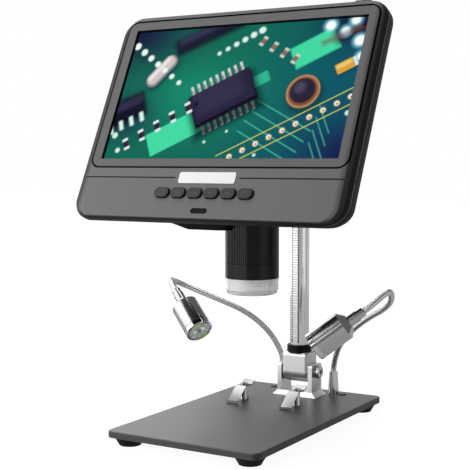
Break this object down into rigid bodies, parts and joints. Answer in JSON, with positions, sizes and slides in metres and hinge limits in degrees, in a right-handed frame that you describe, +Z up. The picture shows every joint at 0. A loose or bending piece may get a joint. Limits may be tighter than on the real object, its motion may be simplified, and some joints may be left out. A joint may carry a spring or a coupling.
{
  "type": "digital microscope",
  "caption": "Digital microscope with a tilted display on a rack and pinion column, a lens barrel with a focus ring, two gooseneck lamps and a flat specimen base with clips.",
  "frame": {"origin": "on the bench, under the middle of the base plate", "axes": "+Z up; the user sits on the -Y side and faces the display; +X to the user's right; X = 0 is the plane through the column and the lens axis"},
  "size_m": [0.2154, 0.196, 0.3019],
  "materials": {
    "plate": "satin, bead-blasted and dark grey anodised",
    "bracket": "satin",
    "block": "satin",
    "post": "polished",
    "rack": "milled",
    "screw": "plain",
    "bolt": "plain",
    "rubber": "matt",
    "black_plastic": "fine texture",
    "carriage": "black anodised",
    "face": "fine texture, grey",
    "inner_face": "fine texture, grey",
    "button": "satin",
    "nameplate": "satin white, bare",
    "display_glass": "clear",
    "lcd": "lit picture in the visual model",
    "board": "green circuit board",
    "ir_window": "dark, clear to infra-red",
    "socket": "plain",
    "barrel": "satin black",
    "diffuser": "frosted, lets light through",
    "lens_metal": "black anodised",
    "optic": "clear",
    "ferrule": "polished",
    "neck": "corrugated metal hose",
    "lamp": "turned, satin",
    "lamp_bezel": "polished",
    "lamp_lens": "clear",
    "led": "white",
    "clip": "spring steel"
  },
  "bodies": {
    "base": {"base_plate": "plate", "rubber_feet": "rubber", "base_screws": "screw", "earth_screws": "screw", "clevis_bracket": "bracket", "pivot_bolt": "bolt", "pivot_nut": "bolt", "neck_ferrules": "ferrule", "neck_nuts": "screw", "clip_posts": "bolt", "clip_screws": "screw"},
    "left_clip": {"left_clip": "clip"},
    "right_clip": {"right_clip": "clip"},
    "left_lamp": {"left_neck": "neck", "left_lamp_body": "lamp", "left_lamp_bezel": "lamp_bezel", "left_lamp_lens": "lamp_lens", "left_lamp_leds": "led"},
    "right_lamp": {"right_neck": "neck", "right_lamp_body": "lamp", "right_lamp_bezel": "lamp_bezel", "right_lamp_lens": "lamp_lens", "right_lamp_leds": "led"},
    "column": {"pivot_block": "block", "post": "post", "rack": "rack", "post_collar": "black_plastic", "post_cap": "black_plastic"},
    "head": {"carriage": "carriage", "flange_screws": "screw", "camera_housing": "black_plastic", "image_sensor": "board", "barrel_core": "barrel", "diffuser_cap": "diffuser", "led_ring": "led", "rear_cover": "black_plastic", "front_bezel": "face", "inner_frame": "inner_face", "display_glass": "display_glass", "lcd_panel": "lcd", "case_screws": "screw", "nameplate": "nameplate", "ir_window": "ir_window", "button_board": "board", "main_board": "board", "usb_socket": "socket", "card_socket": "socket"},
    "focus_drive": {"pinion_shaft": "bolt", "focus_knobs": "black_plastic"},
    "focus_ring": {"focus_ring": "barrel"},
    "lens": {"lens_group": "lens_metal", "objective_lens": "optic"},
    "power_button": {"power_button": "button"},
    "menu_button_1": {"menu_button_1": "button"},
    "menu_button_2": {"menu_button_2": "button"},
    "menu_button_3": {"menu_button_3": "button"},
    "menu_button_4": {"menu_button_4": "button"},
    "menu_button_5": {"menu_button_5": "button"},
    "menu_button_6": {"menu_button_6": "button"}
  },
  "joints": [
    {"name": "column_tilt", "type": "hinge", "parent": "base", "child": "column", "pos_m": [0, 0.0735, 0.0295], "axis": [1, 0, 0], "range_deg": [-30, 8]},
    {"name": "head_slide", "type": "slide", "parent": "column", "child": "head", "axis": [0, 0, 1], "range_m": [-0.04, 0.055]},
    {"name": "focus_drive_turn", "type": "hinge", "parent": "head", "child": "focus_drive", "pos_m": [0, 0.0593, 0.185], "axis": [1, 0, 0], "range_deg": [-530, 386]},
    {"name": "focus_ring_turn", "type": "hinge", "parent": "head", "child": "focus_ring", "pos_m": [0, -0.0012, 0.133], "axis": [0, 0, 1], "range_deg": [-137, 137]},
    {"name": "lens_slide", "type": "slide", "parent": "head", "child": "lens", "axis": [0, 0, 1], "range_m": [-0.006, 0.006]},
    {"name": "left_lamp_swing", "type": "hinge", "parent": "base", "child": "left_lamp", "pos_m": [-0.0224, 0.0886, 0.0282], "axis": [0, 0, 1], "range_deg": [-12, 12]},
    {"name": "right_lamp_swing", "type": "hinge", "parent": "base", "child": "right_lamp", "pos_m": [0.0224, 0.0886, 0.0282], "axis": [0, 0, 1], "range_deg": [-12, 12]},
    {"name": "left_clip_swivel", "type": "hinge", "parent": "base", "child": "left_clip", "pos_m": [-0.029, 0.0365, 0.021], "axis": [0, 0, 1], "range_deg": [-90, 90]},
    {"name": "right_clip_swivel", "type": "hinge", "parent": "base", "child": "right_clip", "pos_m": [0.016, 0.038, 0.021], "axis": [0, 0, 1], "range_deg": [-90, 90]},
    {"name": "menu_button_1_press", "type": "slide", "parent": "head", "child": "menu_button_1", "axis": [0, 0.8996, -0.4368], "range_m": [0, 0.0008], "stiffness_N_per_m": 600, "springref_m": -0.0005},
    {"name": "menu_button_2_press", "type": "slide", "parent": "head", "child": "menu_button_2", "axis": [0, 0.8996, -0.4368], "range_m": [0, 0.0008], "stiffness_N_per_m": 600, "springref_m": -0.0005},
    {"name": "menu_button_3_press", "type": "slide", "parent": "head", "child": "menu_button_3", "axis": [0, 0.8996, -0.4368], "range_m": [0, 0.0008], "stiffness_N_per_m": 600, "springref_m": -0.0005},
    {"name": "menu_button_4_press", "type": "slide", "parent": "head", "child": "menu_button_4", "axis": [0, 0.8996, -0.4368], "range_m": [0, 0.0008], "stiffness_N_per_m": 600, "springref_m": -0.0005},
    {"name": "menu_button_5_press", "type": "slide", "parent": "head", "child": "menu_button_5", "axis": [0, 0.8996, -0.4368], "range_m": [0, 0.0008], "stiffness_N_per_m": 600, "springref_m": -0.0005},
    {"name": "menu_button_6_press", "type": "slide", "parent": "head", "child": "menu_button_6", "axis": [0, 0.8996, -0.4368], "range_m": [0, 0.0008], "stiffness_N_per_m": 600, "springref_m": -0.0005},
    {"name": "power_button_press", "type": "slide", "parent": "head", "child": "power_button", "axis": [0, -0.4368, -0.8996], "range_m": [0, 0.0008], "stiffness_N_per_m": 700, "springref_m": -0.0005}
  ],
  "couplings": [
    {"joint": "focus_drive_turn", "follows": "head_slide", "rad_per_m": -166.67},
    {"joint": "focus_ring_turn", "follows": "lens_slide", "rad_per_m": 392.7}
  ]
}
